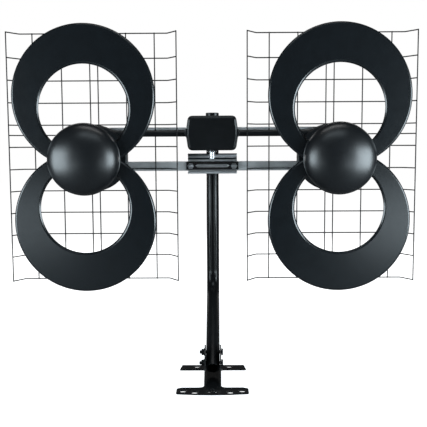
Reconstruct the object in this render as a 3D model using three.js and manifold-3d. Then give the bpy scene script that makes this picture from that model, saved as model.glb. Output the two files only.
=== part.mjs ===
// A television antenna with two panels on a J-shaped mast, as an assembly of named pieces.
// Each panel is a pair of tapered loops on a round hub, in front of a welded wire reflector.
// Millimetres. The origin is the centre of the foot plate's underside. X runs to the right, Y to the
// back and Z up, so the loops face -Y.
import * as THREE from "three";
import { mergeVertices } from "three/addons/utils/BufferGeometryUtils.js";
import Module from "manifold-3d";

const wasm = await Module();
wasm.setup();

// ------------------------------------------------------------------ driving dimensions
const GAP = 0.3; // clearance between pieces that touch
const DRILL = 0.3; // clearance round a fastener
const SHEET = 2.5; // thickness of the bent steel pieces
const WALL = 2.5; // thickness of the moulded pieces

// The mast and its foot, in the antenna's own frame.
const MAST_R = 11.1;
const MAST_BORE = 9.5;
const MAST_Y = 173.6;
const MAST_TOP = 423.2;
const MAST_CORNER_Z = 118.7; // where the two straight stretches would meet
const MAST_BEND_R = 55;
const MAST_SLOPE = 32.5; // degrees above the horizontal, in the lower stretch
const CAP_TOP = 429.5;
const PIVOT = { y: 20.6, z: 21.7 };
const PAST_PIVOT = 11; // how far the mast runs on beyond its pivot
const LOCK_R = 22.9; // from the pivot to the locking bolt
const TILT = 25; // degrees each way
const FOOT_BOLT_R = 3;
const FOOT_T = 2.5;
const FOOT_HALF_X = 55;
const NEAR_BAR = { front: -65.8, bow: -70.3, back: -40.9 };
const FAR_BAR = { front: 47.3, back: 70.3 };
const EAR_IN = 11.4;
const EAR_OUT = 13.4;

// The head. Its heights are the antenna's, but its Y starts at the front end of the standoff tubes.
const MAST_BEHIND = 132; // the mast's middle line, in the head's Y
const PANEL_X = 201.6; // centre of each panel, left and right of the mast
const PANEL_Z = 351.3;

const LOOP_R = 113; // outer circle of a loop
const LOOP_HOLE_R = 70.7;
const LOOP_Z = 98.6; // height of the outer circle's centre above the panel's centre
const LOOP_HOLE_Z = 78.4;
const LOOP_TRIM = 1; // half the gap between the upper and the lower loop
const FEED_HALF = 16; // half the gap at a loop's feed point
const LOOP_FRONT = -20;
const LOOP_BACK = -16;
const LOOP_ARC_STEPS = 22;
const LOOP_SCREW = { x: 42, z: 11 };

const DOME_R = 57.8;
const DOME_SKIRT = 8; // height of the straight skirt below the dome's cap
const DOME_DEPTH = 38;
const CUP_R = 52;
const CUP_SEAT_R = 36; // inside edge of the cup's flat rim
const CUP_BACK = 4.5;
const COLLAR = 9.5; // length of the collars that hold the standoff tube
const TUBE_R = 16; // standoff tube between the loops and the reflector
const TUBE_BORE = 13;
const HUB_R = 57;
const HUB_FRONT = 71;
const HUB_BACK = 85.9;
const HUB_BOLT_Z = 28;
const HUB_BOLT_R = 2.5;

const MESH_Y = 88; // where the two layers of wires meet
const WIRE = 1.7;
const WELD = 0.2; // how deep one wire sinks into the other where they cross
const MESH_HALF_X = 142.4;
const MESH_HALF_Z = 211.8;
const MESH_BEND = { x: 126, length: 4, drop: 2.5 }; // the edges turn forward from here
const MESH_EDGE_Y = -23.9; // where the edges end, in front of the reflector
const WIRES_X = [6.8, 55.3, 103.9];
const WIRES_Z = [19, 56.6, 94, 131.6, 169, 210.9];
const EXTRA_WIRE_Z = 39.2; // one more wire, above the hub

const BOOM = 16; // square tube
const BOOM_WALL = 1.4;
const BOOM_Y = 102;
const BOOM_END_X = 231;
const UPPER_BOOM_Z = 395.4;
const LOWER_BOOM_Z = 336.2;
const BRACKET = { halfX: 16, low: -33, high: 54, front: 90.2, back: 116 }; // heights from the panel's centre

const BOX_Z = 392.7; // centre of the combiner housing
const BOX_FRONT = 56;
const BOX_SPLIT = 66;
const BOX_BACK = 92;
const BOX_HALF_X = 43.7;
const BOX_HALF_Z = 29.2;
const BOX_BOSS = 2.5;
const BOX_SCREW = { x: 33, z: 20 };
const BOARD = { x: 27, z: 18, front: 66.5, back: 68.1 };
const FEED_Y = 79.7;
const FEED_R = 5.5;
const CONNECTOR = { y: 74, r: 4.75, low: 348.8 };
const BOOM_SCREW_X = 25;

const PLATE = { x: 45.5, low: 329.6, high: 344.3, front: 91.4, back: 93.7 };
const RIB = { x: 29.4, z: 3.5, tip: 5.5, rise: 1.8 }; // the raised rib of the clamp plate
const CLAMP_BOLT = { x: 37.5, z: 336.5, r: 3 };
const CHANNEL = { x: 43, low: 322.6, high: 357.8, flange: 6.5 };
const BEAD = { z: 351.5, half: 2.6, rise: 3 }; // the pressed bead along the channel's web
const SADDLE_BACK = 5; // how far the saddles' flat faces lie in front of the mast's middle line
const SADDLE_HALF_X = 18;

// ------------------------------------------------------------------ solids
const rad = THREE.MathUtils.degToRad;
const AXIS_X = new THREE.Vector3(1, 0, 0);
const AXIS_Y = new THREE.Vector3(0, 1, 0);
const AXIS_Z = new THREE.Vector3(0, 0, 1);
const X_BASIS = new THREE.Matrix4().makeBasis(AXIS_Y, AXIS_Z, AXIS_X);
const Y_BASIS = new THREE.Matrix4().makeBasis(AXIS_X, AXIS_Z, AXIS_Y.clone().negate());

// A closed geometry as a solid that can be joined and cut.
function solid(geometry) {
  const bare = geometry.clone();
  bare.deleteAttribute("normal");
  bare.deleteAttribute("uv");
  const merged = mergeVertices(bare, 1e-4);
  return new wasm.Manifold(
    new wasm.Mesh({
      numProp: 3,
      vertProperties: merged.attributes.position.array,
      triVerts: new Uint32Array(merged.index.array),
    }),
  );
}

function joined(first, ...others) {
  return others.reduce((body, other) => body.add(other), first);
}

function cut(body, ...tools) {
  return tools.reduce((rest, tool) => rest.subtract(tool), body);
}

function extruded(shape, depth, curveSegments = 12) {
  return new THREE.ExtrudeGeometry(shape, { depth, steps: 1, bevelEnabled: false, curveSegments });
}

// An outline in X and Z, between two depths along Y.
function facingY(shape, front, back, curveSegments) {
  const geometry = extruded(shape, back - front, curveSegments).applyMatrix4(Y_BASIS);
  return solid(geometry.translate(0, back, 0));
}

// An outline in Y and Z, between two places along X.
function facingX(shape, low, high, curveSegments) {
  const geometry = extruded(shape, high - low, curveSegments).applyMatrix4(X_BASIS);
  return solid(geometry.translate(low, 0, 0));
}

// An outline in X and Y, between two heights.
function facingZ(shape, low, high, curveSegments) {
  return solid(extruded(shape, high - low, curveSegments).translate(0, 0, low));
}

// A profile of [radius, distance along the axis] pairs, counter-clockwise, turned round an axis.
function turned(profile, at, axis, segments) {
  const points = profile.map(([r, h]) => new THREE.Vector2(r, h));
  const geometry = new THREE.LatheGeometry(points, segments);
  const turn = new THREE.Quaternion().setFromUnitVectors(AXIS_Y, axis);
  return solid(geometry.applyQuaternion(turn).translate(...at));
}

function rod(radius, at, axis, from, to, segments = 10) {
  const profile = [[0, from], [radius, from], [radius, to], [0, to]];
  return turned(profile, at, axis, segments);
}

function pipe(radius, bore, at, axis, from, to, segments) {
  const profile = [[bore, from], [radius, from], [radius, to], [bore, to], [bore, from]];
  return turned(profile, at, axis, segments);
}

function block([x0, x1], [y0, y1], [z0, z1]) {
  const geometry = new THREE.BoxGeometry(x1 - x0, y1 - y0, z1 - z0);
  return solid(geometry.translate((x0 + x1) / 2, (y0 + y1) / 2, (z0 + z1) / 2));
}

function outline(points) {
  return new THREE.Shape(points.map(([a, b]) => new THREE.Vector2(a, b)));
}

// The section of a sheet or wire bent along a line of points, as thick as stated.
function bent(points, thickness) {
  const line = points.map(([a, b]) => new THREE.Vector2(a, b));
  const side = (sign) =>
    line.map((point, i) => {
      const before = line[Math.max(i - 1, 0)];
      const after = line[Math.min(i + 1, line.length - 1)];
      const into = point.clone().sub(before).normalize();
      const out = after.clone().sub(point).normalize();
      const along = into.clone().add(out).normalize();
      const across = new THREE.Vector2(-along.y, along.x);
      const lean = into.lengthSq() && out.lengthSq() ? along.dot(into) : 1;
      return point.clone().addScaledVector(across, (sign * thickness) / 2 / lean);
    });
  return new THREE.Shape([...side(-1), ...side(1).reverse()]);
}

// ------------------------------------------------------------------ fasteners
// A bolt with a round head whose underside is at the place given; its shank runs along the axis.
function bolt(headR, headT, shankR, length, at, axis, segments = 10) {
  const crown = headR * 0.8;
  const profile = [[0, -headT], [crown, -headT], [headR, 0], [shankR, 0], [shankR, length], [0, length]];
  return turned(profile, at, axis, segments);
}

function nut(acrossFlats, thickness, bore, at, axis) {
  const hexagon = rod(acrossFlats / Math.sqrt(3), at, axis, 0, thickness, 6);
  return cut(hexagon, rod(bore, at, axis, -1, thickness + 1, 10));
}

// ------------------------------------------------------------------ materials
function material(color, roughness, metalness) {
  return new THREE.MeshStandardMaterial({ color, roughness, metalness });
}

const FINISH = {
  loop: material(0x15191c, 0.38, 0.2),
  dome: material(0x14171a, 0.3, 0),
  plastic: material(0x121517, 0.45, 0),
  wire: material(0x2b2725, 0.5, 0.3),
  boom: material(0x8e959b, 0.35, 0.9),
  chrome: material(0xc9ccd0, 0.18, 1),
  mast: material(0x0f1213, 0.35, 0.3),
  bolt: material(0x8b8d90, 0.35, 1),
  board: material(0x1c4a2a, 0.6, 0),
};

const antenna = new THREE.Group();

function add(group, name, body, finish) {
  const { vertProperties, triVerts } = body.getMesh();
  const geometry = new THREE.BufferGeometry();
  geometry.setAttribute("position", new THREE.BufferAttribute(vertProperties, 3));
  geometry.setIndex(new THREE.BufferAttribute(triVerts, 1));
  geometry.computeVertexNormals();
  const mesh = new THREE.Mesh(geometry, FINISH[finish]);
  mesh.name = name;
  group.add(mesh);
}

// ------------------------------------------------------------------ panel, about its own centre
// A tapered loop: an eccentric hole in a disc, trimmed at the panel's centre and open at its feed.
function loop(up) {
  const trim = Math.asin((LOOP_TRIM - LOOP_Z) / LOOP_R);
  const feed = Math.acos(FEED_HALF / LOOP_HOLE_R);
  const shape = new THREE.Shape();
  shape.moveTo(FEED_HALF, LOOP_TRIM);
  shape.absarc(0, LOOP_Z, LOOP_R, trim, Math.PI - trim, false);
  shape.lineTo(-FEED_HALF, LOOP_TRIM);
  shape.absarc(0, LOOP_HOLE_Z, LOOP_HOLE_R, Math.PI + feed, -feed, true);
  const plate = facingY(shape, LOOP_FRONT, LOOP_BACK, LOOP_ARC_STEPS);
  const body = up ? plate : plate.mirror([0, 0, 1]);
  const sign = up ? 1 : -1;
  const holes = [-1, 1].map((side) =>
    rod(2 + DRILL, [side * LOOP_SCREW.x, 0, sign * LOOP_SCREW.z], AXIS_Y, LOOP_FRONT - 1, LOOP_BACK + 1, 6),
  );
  return cut(body, ...holes);
}

// A round cover: a straight skirt and then an elliptical cap.
function dome() {
  const steps = 7;
  const side = (radius, depth, count) => {
    const cap = Array.from({ length: count }, (_, i) => {
      const angle = (i / count) * (Math.PI / 2);
      return [radius * Math.cos(angle), DOME_SKIRT + (depth - DOME_SKIRT) * Math.sin(angle)];
    });
    return [[radius, 0], ...cap, [0, depth]];
  };
  const outer = side(DOME_R, DOME_DEPTH, steps);
  const inner = side(DOME_R - WALL, DOME_DEPTH - WALL, steps - 2).reverse();
  return turned([...inner, ...outer], [0, LOOP_FRONT - GAP, 0], AXIS_Y.clone().negate(), 26);
}

// The circuit board on four feed posts that stand on the loops' ends.
function balunBoard() {
  const back = LOOP_FRONT - 7.4;
  const front = back - 1.6;
  const posts = [-1, 1].flatMap((x) =>
    [-1, 1].map((z) => rod(1.5, [x * 22, 0, z * 6], AXIS_Y, (front + back) / 2, LOOP_FRONT - GAP, 6)),
  );
  const core = rod(6, [0, 0, 0], AXIS_Y, front - 7, (front + back) / 2, 8);
  return joined(block([-26, 26], [front, back], [-14, 14]), core, ...posts);
}

// The cup behind the loops, with a collar for the standoff tube.
function cup() {
  const front = LOOP_BACK + GAP;
  const collar = TUBE_R + GAP;
  const profile = [[CUP_SEAT_R, front], [CUP_R, front], [CUP_R, front + 3], [CUP_R - 9, front + 5.7],
    [collar + WALL, CUP_BACK], [collar + WALL, CUP_BACK + COLLAR], [collar, CUP_BACK + COLLAR],
    [collar, CUP_BACK - 2], [CUP_SEAT_R, front + 6.1], [CUP_SEAT_R, front]];
  const holes = [-1, 1].flatMap((x) =>
    [-1, 1].map((z) => rod(2 + DRILL, [x * LOOP_SCREW.x, 0, z * LOOP_SCREW.z], AXIS_Y, front - 1, 0, 6)),
  );
  return cut(turned(profile, [0, 0, 0], AXIS_Y, 24), ...holes);
}

// The holes for the hub's two bolts through a piece that lies between two depths.
function hubBoltHoles(front, back) {
  return [-1, 1].map((z) => rod(HUB_BOLT_R + DRILL, [0, 0, z * HUB_BOLT_Z], AXIS_Y, front, back, 8));
}

// The round plate in front of the reflector, open at its back. The feed tube enters at its rim.
function hub(inward) {
  const collar = TUBE_R + GAP;
  const wall = HUB_FRONT + WALL;
  const profile = [[TUBE_BORE, HUB_FRONT], [collar, HUB_FRONT], [collar, HUB_FRONT - COLLAR],
    [collar + WALL, HUB_FRONT - COLLAR], [collar + WALL, HUB_FRONT], [HUB_R - 2, HUB_FRONT],
    [HUB_R, HUB_FRONT + 2], [HUB_R, HUB_BACK], [HUB_R - WALL, HUB_BACK], [HUB_R - WALL, wall],
    [TUBE_BORE, wall], [TUBE_BORE, HUB_FRONT]];
  const body = turned(profile, [0, 0, 0], AXIS_Y, 26);
  const bolts = hubBoltHoles(HUB_FRONT - 1, wall + 1);
  const inlet = rod(FEED_R + DRILL, [0, FEED_Y, BOX_Z - PANEL_Z], AXIS_X, TUBE_R, HUB_R, 12);
  return cut(body, ...bolts, inward > 0 ? inlet : inlet.mirror([1, 0, 0]));
}

// The reflector: upright wires in front, level wires behind, welded where they cross.
function meshScreen(inward) {
  const half = WIRE / 2;
  const front = MESH_Y - half + WELD;
  const back = MESH_Y + half - WELD;
  const edge = [MESH_HALF_X, MESH_Y + MESH_EDGE_Y];
  const bend = [[MESH_BEND.x, back], [MESH_BEND.x + MESH_BEND.length, back - MESH_BEND.drop], edge];
  const turnedTo = (sign) => bend.map(([x, y]) => [sign * x, y]);
  const level = [...turnedTo(-1).reverse(), ...turnedTo(1)];
  const short = [...turnedTo(-inward).reverse(), [inward * WIRES_X[2], back]];
  const heights = WIRES_Z.flatMap((z) => [-z, z]);
  const levels = heights.map((z) => facingZ(bent(level, WIRE), z - half, z + half));
  const extra = facingZ(bent(short, WIRE), EXTRA_WIRE_Z - half, EXTRA_WIRE_Z + half);
  const upright = (x, y) => block([x - half, x + half], [y - half, y + half], [-MESH_HALF_Z, MESH_HALF_Z]);
  const uprights = WIRES_X.flatMap((x) => [upright(-x, front), upright(x, front)]);
  return joined(extra, ...levels, ...uprights, upright(-edge[0], edge[1]), upright(edge[0], edge[1]));
}

// The channel behind the reflector that both booms pass through.
function boomBracket() {
  const { halfX, low, high, front, back } = BRACKET;
  const side = halfX - SHEET / 2;
  const web = front + SHEET / 2;
  const section = bent([[-side, back], [-side, web], [side, web], [side, back]], SHEET);
  const hole = BOOM / 2 + GAP;
  const windows = [UPPER_BOOM_Z, LOWER_BOOM_Z].map((height) =>
    block([-halfX - 1, halfX + 1], [BOOM_Y - hole, BOOM_Y + hole],
      [height - PANEL_Z - hole, height - PANEL_Z + hole]),
  );
  const bolts = hubBoltHoles(front - 1, web + SHEET);
  return cut(facingZ(section, low, high), ...windows, ...bolts);
}

function panel(side, suffix) {
  const inward = -side;
  const group = new THREE.Group();
  group.position.set(side * PANEL_X, 0, PANEL_Z);
  const put = (name, body, finish) => add(group, `${name}_${suffix}`, body, finish);
  put("loop_upper", loop(true), "loop");
  put("loop_lower", loop(false), "loop");
  put("dome_cover", dome(), "dome");
  put("balun_board", balunBoard(), "board");
  put("rear_cup", cup(), "plastic");
  put("standoff_tube", pipe(TUBE_R, TUBE_BORE, [0, 0, 0], AXIS_Y, 0, HUB_FRONT - GAP, 20), "plastic");
  put("hub_plate", hub(inward), "plastic");
  put("mesh_screen", meshScreen(inward), "wire");
  put("boom_bracket", boomBracket(), "bolt");
  [["upper", 1], ["lower", -1]].forEach(([place, sign]) => {
    const head = [0, HUB_FRONT - GAP, sign * HUB_BOLT_Z];
    put(`hub_bolt_${place}`, bolt(4.5, 2.8, HUB_BOLT_R, 24, head, AXIS_Y, 8), "bolt");
    [["outer", -inward], ["inner", inward]].forEach(([reach, hand]) => {
      const at = [hand * LOOP_SCREW.x, LOOP_FRONT - GAP, sign * LOOP_SCREW.z];
      put(`loop_screw_${place}_${reach}`, bolt(4, 2, 2, 10, at, AXIS_Y, 6), "bolt");
    });
  });
  return group;
}

// ------------------------------------------------------------------ booms and feed
function boomTube(height, holeX, holeZ, holeR) {
  const half = BOOM / 2;
  const inside = half - BOOM_WALL;
  const span = (reach, middle) => [middle - reach, middle + reach];
  const tube = block(span(BOOM_END_X, 0), span(half, BOOM_Y), span(half, height));
  const bore = block(span(BOOM_END_X + 1, 0), span(inside, BOOM_Y), span(inside, height));
  const holes = [-holeX, holeX].map((x) => rod(holeR, [x, BOOM_Y, holeZ], AXIS_Y, -half - 1, half + 1, 8));
  return cut(tube, bore, ...holes);
}

// ------------------------------------------------------------------ combiner housing
// Its sides swell towards the middle, where the feed tubes enter through a pair of bosses.
function boxOutline(inset, boss) {
  const x = BOX_HALF_X - inset;
  const z = BOX_HALF_Z - inset;
  const corner = 9 - inset;
  const lean = 2;
  const shape = new THREE.Shape();
  const centre = (sx, sz) => [sx * (x - lean - corner), BOX_Z + sz * (z - corner)];
  shape.absarc(...centre(1, -1), corner, -Math.PI / 2, 0, false);
  shape.lineTo(x, BOX_Z - 8);
  shape.lineTo(x + boss, BOX_Z - 5);
  shape.lineTo(x + boss, BOX_Z + 5);
  shape.lineTo(x, BOX_Z + 8);
  shape.absarc(...centre(1, 1), corner, 0, Math.PI / 2, false);
  shape.absarc(...centre(-1, 1), corner, Math.PI / 2, Math.PI, false);
  shape.lineTo(-x, BOX_Z + 8);
  shape.lineTo(-x - boss, BOX_Z + 5);
  shape.lineTo(-x - boss, BOX_Z - 5);
  shape.lineTo(-x, BOX_Z - 8);
  shape.absarc(...centre(-1, -1), corner, Math.PI, 1.5 * Math.PI, false);
  return shape;
}

const boxScrews = [-1, 1].map((side) => [side * BOX_SCREW.x, 0, BOX_Z + BOX_SCREW.z]);

function boxFront() {
  const body = facingY(boxOutline(0, BOX_BOSS), BOX_FRONT, BOX_SPLIT, 4);
  const hollow = facingY(boxOutline(WALL, 0), BOX_FRONT + WALL, BOX_SPLIT + 1, 4);
  const posts = boxScrews.map((at) => rod(3.6, at, AXIS_Y, BOX_FRONT + 1, BOX_SPLIT, 8));
  const holes = boxScrews.map((at) => rod(1.5 + DRILL, at, AXIS_Y, BOX_FRONT + 3, BOX_SPLIT + 1, 6));
  return cut(joined(cut(body, hollow), ...posts), ...holes);
}

function boxRear() {
  const front = BOX_SPLIT + GAP;
  const boomFront = BOOM_Y - BOOM / 2 - GAP;
  const bottom = BOX_Z - BOX_HALF_Z;
  const body = facingY(boxOutline(0, BOX_BOSS), front, BOX_BACK, 4);
  const hollow = facingY(boxOutline(WALL, 0), front - 1, BOX_BACK - WALL, 4);
  const pad = block([-38, 38], [BOX_BACK - 1, boomFront], [UPPER_BOOM_Z - BOOM / 2, UPPER_BOOM_Z + BOOM / 2]);
  const posts = boxScrews.map((at) => rod(3.6, at, AXIS_Y, front, BOX_BACK - 1, 8));
  const boomScrews = [-1, 1].map((side) => [side * BOOM_SCREW_X, 0, UPPER_BOOM_Z]);
  const holes = [
    ...boxScrews.map((at) => rod(1.5 + DRILL, at, AXIS_Y, front - 1, BOX_BACK + 1, 6)),
    ...boomScrews.map((at) => rod(2 + DRILL, at, AXIS_Y, BOX_BACK - WALL - 1, boomFront + 1, 8)),
    rod(FEED_R + DRILL, [0, FEED_Y, BOX_Z], AXIS_X, -BOX_HALF_X - 9, BOX_HALF_X + 9, 12),
    rod(CONNECTOR.r + DRILL, [0, CONNECTOR.y, bottom], AXIS_Z, -1, WALL + 1, 12),
  ];
  return cut(joined(cut(body, hollow), pad, ...posts), ...holes);
}

function combinerBoard() {
  const { x, z, front, back } = BOARD;
  const core = rod(5, [0, 0, BOX_Z], AXIS_Y, BOX_FRONT + 4, front + 0.5, 10);
  return joined(block([-x, x], [front, back], [BOX_Z - z, BOX_Z + z]), core);
}

// The coaxial socket: a threaded barrel that points down, with a shoulder inside the housing.
function connector() {
  const inside = BOX_Z - BOX_HALF_Z + WALL + GAP;
  const { r, low } = CONNECTOR;
  const profile = [[0, low], [r - 0.6, low], [r, low + 0.6], [r, inside], [r + 1.6, inside],
    [r + 1.6, inside + 2], [0, inside + 2]];
  return turned(profile, [0, CONNECTOR.y, 0], AXIS_Z, 16);
}

function feedTube(side) {
  const from = BOX_HALF_X - 7;
  const to = PANEL_X - Math.sqrt(HUB_R ** 2 - (BOX_Z - PANEL_Z) ** 2) + 9;
  const [low, high] = side > 0 ? [from, to] : [-to, -from];
  return pipe(FEED_R, FEED_R - 1.3, [0, FEED_Y, BOX_Z], AXIS_X, low, high, 12);
}

// ------------------------------------------------------------------ mast clamp
// The front plate carries a raised rib with pointed ends.
function clampPlate() {
  const { x, low, high, front, back } = PLATE;
  const middle = (low + high) / 2;
  const corner = 1.6;
  const plate = outline([[-x + corner, low], [x - corner, low], [x, low + corner], [x, high - corner],
    [x - corner, high], [-x + corner, high], [-x, high - corner], [-x, low + corner]]);
  const shoulder = RIB.x - RIB.tip;
  const rib = outline([[-RIB.x, middle], [-shoulder, middle - RIB.z], [shoulder, middle - RIB.z],
    [RIB.x, middle], [shoulder, middle + RIB.z], [-shoulder, middle + RIB.z]]);
  const body = joined(facingY(plate, front, back), facingY(rib, front - RIB.rise, front + 1));
  return cut(body, ...boltHoles(front - 1, back + 1));
}

// The holes for the clamp's bolts through a piece that lies between two depths.
function boltHoles(front, back) {
  const { x, z, r } = CLAMP_BOLT;
  return [-x, x].map((place) => rod(r + DRILL, [place, 0, z], AXIS_Y, front, back));
}

function clampChannel() {
  const web = BOOM_Y + BOOM / 2 + GAP + SHEET / 2;
  const top = CHANNEL.high - SHEET / 2;
  const bottom = CHANNEL.low + SHEET / 2;
  const lip = web - CHANNEL.flange;
  const section = bent([[lip, bottom], [web, bottom], [web, BEAD.z - BEAD.half], [web - BEAD.rise, BEAD.z],
    [web, BEAD.z + BEAD.half], [web, top], [lip, top]], SHEET);
  return cut(facingX(section, -CHANNEL.x, CHANNEL.x), ...boltHoles(web - SHEET, web + SHEET));
}

// A block with a V-groove that meets the front of the mast.
function frontSaddle() {
  const front = BOOM_Y + BOOM / 2 + 2 * GAP + SHEET;
  const back = MAST_BEHIND - SADDLE_BACK;
  const apex = MAST_BEHIND - (MAST_R + GAP) * Math.SQRT2;
  const groove = back - apex;
  const x = SADDLE_HALF_X;
  const shape = outline([[-x, front], [x, front], [x, back], [groove, back], [0, apex],
    [-groove, back], [-x, back]]);
  return facingZ(shape, CLAMP_BOLT.z - 10, CLAMP_BOLT.z + 10);
}

// A bent strap that pulls the mast into the groove from behind.
function rearSaddle() {
  const flat = MAST_BEHIND - SADDLE_BACK;
  const reach = MAST_R + GAP + SHEET / 2;
  const apex = MAST_BEHIND + reach * Math.SQRT2;
  const crown = MAST_BEHIND + reach + 0.1;
  const end = CLAMP_BOLT.x + 5.5;
  const section = bent([[-end, flat], [flat - apex, flat], [crown - apex, crown], [apex - crown, crown],
    [apex - flat, flat], [end, flat]], SHEET);
  const strap = facingZ(section, CLAMP_BOLT.z - 9, CLAMP_BOLT.z + 9);
  return cut(strap, ...boltHoles(flat - SHEET, flat + SHEET));
}

function clamp(group) {
  add(group, "clamp_plate", clampPlate(), "chrome");
  add(group, "clamp_channel", clampChannel(), "chrome");
  add(group, "front_saddle", frontSaddle(), "chrome");
  add(group, "rear_saddle", rearSaddle(), "chrome");
  const forward = AXIS_Y.clone().negate();
  [["left", -1], ["right", 1]].forEach(([suffix, side]) => {
    const head = [side * CLAMP_BOLT.x, MAST_BEHIND - SADDLE_BACK + SHEET / 2 + GAP, CLAMP_BOLT.z];
    const face = [side * CLAMP_BOLT.x, PLATE.front - GAP, CLAMP_BOLT.z];
    add(group, `clamp_bolt_${suffix}`, bolt(6.5, 3.4, CLAMP_BOLT.r, 44, head, forward, 10), "bolt");
    add(group, `clamp_nut_${suffix}`, nut(9.5, 3, CLAMP_BOLT.r + DRILL, face, forward), "bolt");
  });
}

// ------------------------------------------------------------------ mast
const slope = rad(MAST_SLOPE);
const down = new THREE.Vector3(0, -Math.cos(slope), -Math.sin(slope));
const pivotPoint = new THREE.Vector3(0, PIVOT.y, PIVOT.z);
const corner = new THREE.Vector3(0, MAST_Y, MAST_CORNER_Z);
const bendAngle = Math.PI / 2 - slope;
const tangent = MAST_BEND_R * Math.tan(bendAngle / 2);

// The mast's middle line, from its lower end to its top: straight, bent, straight.
class MastLine extends THREE.Curve {
  static bendSteps = 6;
  static steps = MastLine.bendSteps + 2;

  getPoint(t, target = new THREE.Vector3()) {
    const place = t * MastLine.steps;
    const last = MastLine.steps - 1;
    const low = pivotPoint.clone().addScaledVector(down, PAST_PIVOT);
    const bendStart = corner.clone().addScaledVector(down, tangent);
    const bendEnd = corner.clone().addScaledVector(AXIS_Z, tangent);
    if (place <= 1) return target.lerpVectors(low, bendStart, place);
    if (place >= last) {
      const top = new THREE.Vector3(0, MAST_Y, MAST_TOP);
      return target.lerpVectors(bendEnd, top, place - last);
    }
    const left = bendAngle * (1 - (place - 1) / MastLine.bendSteps);
    const out = MAST_BEND_R * (1 - Math.cos(left));
    const drop = MAST_BEND_R * Math.sin(left);
    return target.copy(bendEnd).add(new THREE.Vector3(0, -out, -drop));
  }

  // One step for each straight stretch, and the others along the bend.
  getPointAt(u, target) {
    return this.getPoint(u, target);
  }

  getTangentAt(u, target) {
    return this.getTangent(u, target);
  }
}

// The point on the mast's lower stretch that the locking bolt crosses.
const lockPoint = pivotPoint.clone().addScaledVector(down, -LOCK_R);

function mastTube() {
  const section = new THREE.Shape().absarc(0, 0, MAST_R, 0, 2 * Math.PI, false);
  section.holes.push(new THREE.Path().absarc(0, 0, MAST_BORE, 0, 2 * Math.PI, true));
  const geometry = new THREE.ExtrudeGeometry(section, {
    steps: MastLine.steps,
    curveSegments: 9,
    extrudePath: new MastLine(),
  });
  const reach = MAST_R + 1;
  const holes = [pivotPoint, lockPoint].map((at) =>
    rod(FOOT_BOLT_R + DRILL, at.toArray(), AXIS_X, -reach, reach),
  );
  return cut(solid(geometry), ...holes);
}

function mastCap() {
  const head = MAST_TOP + GAP;
  const plug = MAST_BORE - GAP;
  const rim = MAST_R + 0.7;
  const profile = [[0, head - 12], [plug, head - 12], [plug, head], [rim, head], [rim, CAP_TOP - 1],
    [rim - 1, CAP_TOP], [0, CAP_TOP]];
  return turned(profile, [0, MAST_Y, 0], AXIS_Z, 16);
}

// ------------------------------------------------------------------ foot
// The H-shaped plate. The front bar's front edge bows forward and its rear corners are cut off.
function footOutline() {
  const x = FOOT_HALF_X;
  const fillet = 9;
  const half = (side) => [
    [side * x * 0.45, NEAR_BAR.bow + 0.9], [side * (x - 2), NEAR_BAR.front], [side * x, NEAR_BAR.front + 2],
    [side * x, NEAR_BAR.back - 7], [side * (x - 7), NEAR_BAR.back],
    [side * (EAR_OUT + fillet), NEAR_BAR.back], [side * (EAR_OUT + 3), NEAR_BAR.back + 3],
    [side * EAR_OUT, NEAR_BAR.back + fillet],
    [side * EAR_OUT, FAR_BAR.front - 5], [side * (EAR_OUT + 5), FAR_BAR.front], [side * x, FAR_BAR.front],
    [side * (x - 3), FAR_BAR.back],
  ];
  return outline([[0, NEAR_BAR.bow], ...half(1), ...half(-1).reverse()]);
}

// One upright ear, with the pivot's hole and the curved slot of the locking bolt.
function ear(low, high) {
  const rim = LOCK_R + FOOT_BOLT_R + 3.3; // the ear's round top, about the pivot
  const shape = new THREE.Shape();
  shape.moveTo(-34, 0);
  shape.lineTo(-24, 6);
  shape.quadraticCurveTo(2, 8, 8, 34);
  shape.absarc(PIVOT.y, PIVOT.z, rim, rad(66), rad(-8), true);
  shape.quadraticCurveTo(51, 6, 58, 0);
  const slot = new THREE.Shape();
  const rest = slope;
  const reach = rad(TILT + 0.6);
  const width = FOOT_BOLT_R + DRILL;
  slot.absarc(PIVOT.y, PIVOT.z, LOCK_R + width, rest - reach, rest + reach, false);
  const end = (angle) => [PIVOT.y + LOCK_R * Math.cos(angle), PIVOT.z + LOCK_R * Math.sin(angle)];
  slot.absarc(...end(rest + reach), width, rest + reach, rest + reach + Math.PI, false);
  slot.absarc(PIVOT.y, PIVOT.z, LOCK_R - width, rest + reach, rest - reach, true);
  slot.absarc(...end(rest - reach), width, rest - reach + Math.PI, rest - reach + 2 * Math.PI, false);
  const pin = rod(FOOT_BOLT_R + DRILL, pivotPoint.toArray(), AXIS_X, low - 1, high + 1);
  return cut(facingX(shape, low, high, 3), facingX(slot, low - 1, high + 1, 3), pin);
}

function footBracket() {
  const screws = [[45, -57], [27, -62.8], [27, 61.3]].flatMap(([x, y]) => [[-x, y, 4.1], [x, y, 4.1]]);
  const small = [[0, -51, 1.8], [-5, -60, 2.4], [5, -60, 2.4]];
  const holes = [...screws, ...small].map(([x, y, r]) => rod(r, [x, y, 0], AXIS_Z, -1, FOOT_T + 1, 8));
  const plate = cut(facingZ(footOutline(), 0, FOOT_T), ...holes);
  return joined(plate, ear(-EAR_OUT, -EAR_IN), ear(EAR_IN, EAR_OUT));
}

function footBolt(group, name, at) {
  const face = EAR_OUT + GAP;
  const toLeft = AXIS_X.clone().negate();
  const head = bolt(6, 3, FOOT_BOLT_R, 2 * face + 8, [face, at.y, at.z], toLeft, 10);
  add(group, `${name}_bolt`, head, "mast");
  add(group, `${name}_nut`, nut(9.5, 5, FOOT_BOLT_R + DRILL, [-face, at.y, at.z], toLeft), "mast");
}

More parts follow.
